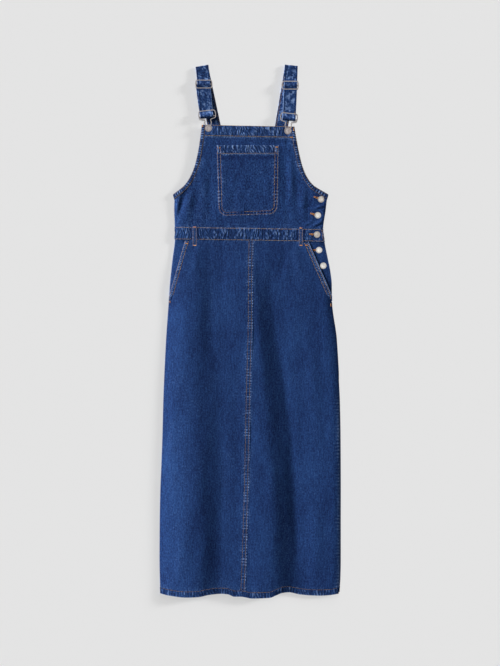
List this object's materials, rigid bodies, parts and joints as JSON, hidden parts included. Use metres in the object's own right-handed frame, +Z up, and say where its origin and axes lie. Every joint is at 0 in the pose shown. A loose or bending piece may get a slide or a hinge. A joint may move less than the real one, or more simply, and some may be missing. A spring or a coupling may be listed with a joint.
{
  "type": "denim overall dress, laid flat",
  "caption": "Long denim overall dress laid flat: bib with pocket, buckled straps, button side opening, slant pockets and a straight skirt with a centre seam.",
  "frame": {"origin": "on the surface under the middle of the dress's box", "axes": "+X to the right of the dress as seen, +Y from the hem to the straps, +Z up from the surface, the way the front faces"},
  "size_m": [0.4252, 1.2496, 0.017],
  "materials": {
    "denim": "dark blue washed denim",
    "worn_denim": "dark blue denim, worn lighter on its raised edges",
    "nickel": "satin nickel plating"
  },
  "bodies": {
    "root": {"skirt_front_left": "denim", "skirt_front_right": "denim", "centre_front_seam": "worn_denim", "hem_front": "worn_denim", "hip_piece_left": "denim", "hip_piece_right": "denim", "pocket_edge_left": "worn_denim", "pocket_edge_right": "worn_denim", "waistband_front": "worn_denim", "belt_loop_left": "worn_denim", "belt_loop_right": "worn_denim", "front_bodice": "denim", "bib_top_band": "worn_denim", "armhole_hem_left": "worn_denim", "armhole_hem_right": "worn_denim", "bib_pocket": "denim", "bib_pocket_hem": "worn_denim", "back_skirt": "denim", "hem_back": "worn_denim", "waistband_back": "denim", "back_bodice": "denim", "side_placket": "denim", "strap_left": "worn_denim", "strap_right": "worn_denim", "slider_left": "nickel", "slider_right": "nickel", "clasp_left": "nickel", "clasp_right": "nickel", "bib_button_left": "nickel", "bib_button_right": "nickel", "side_button_1": "nickel", "side_button_2": "nickel", "side_button_3": "nickel", "side_button_4": "nickel", "side_button_5": "nickel"}
  },
  "joints": []
}
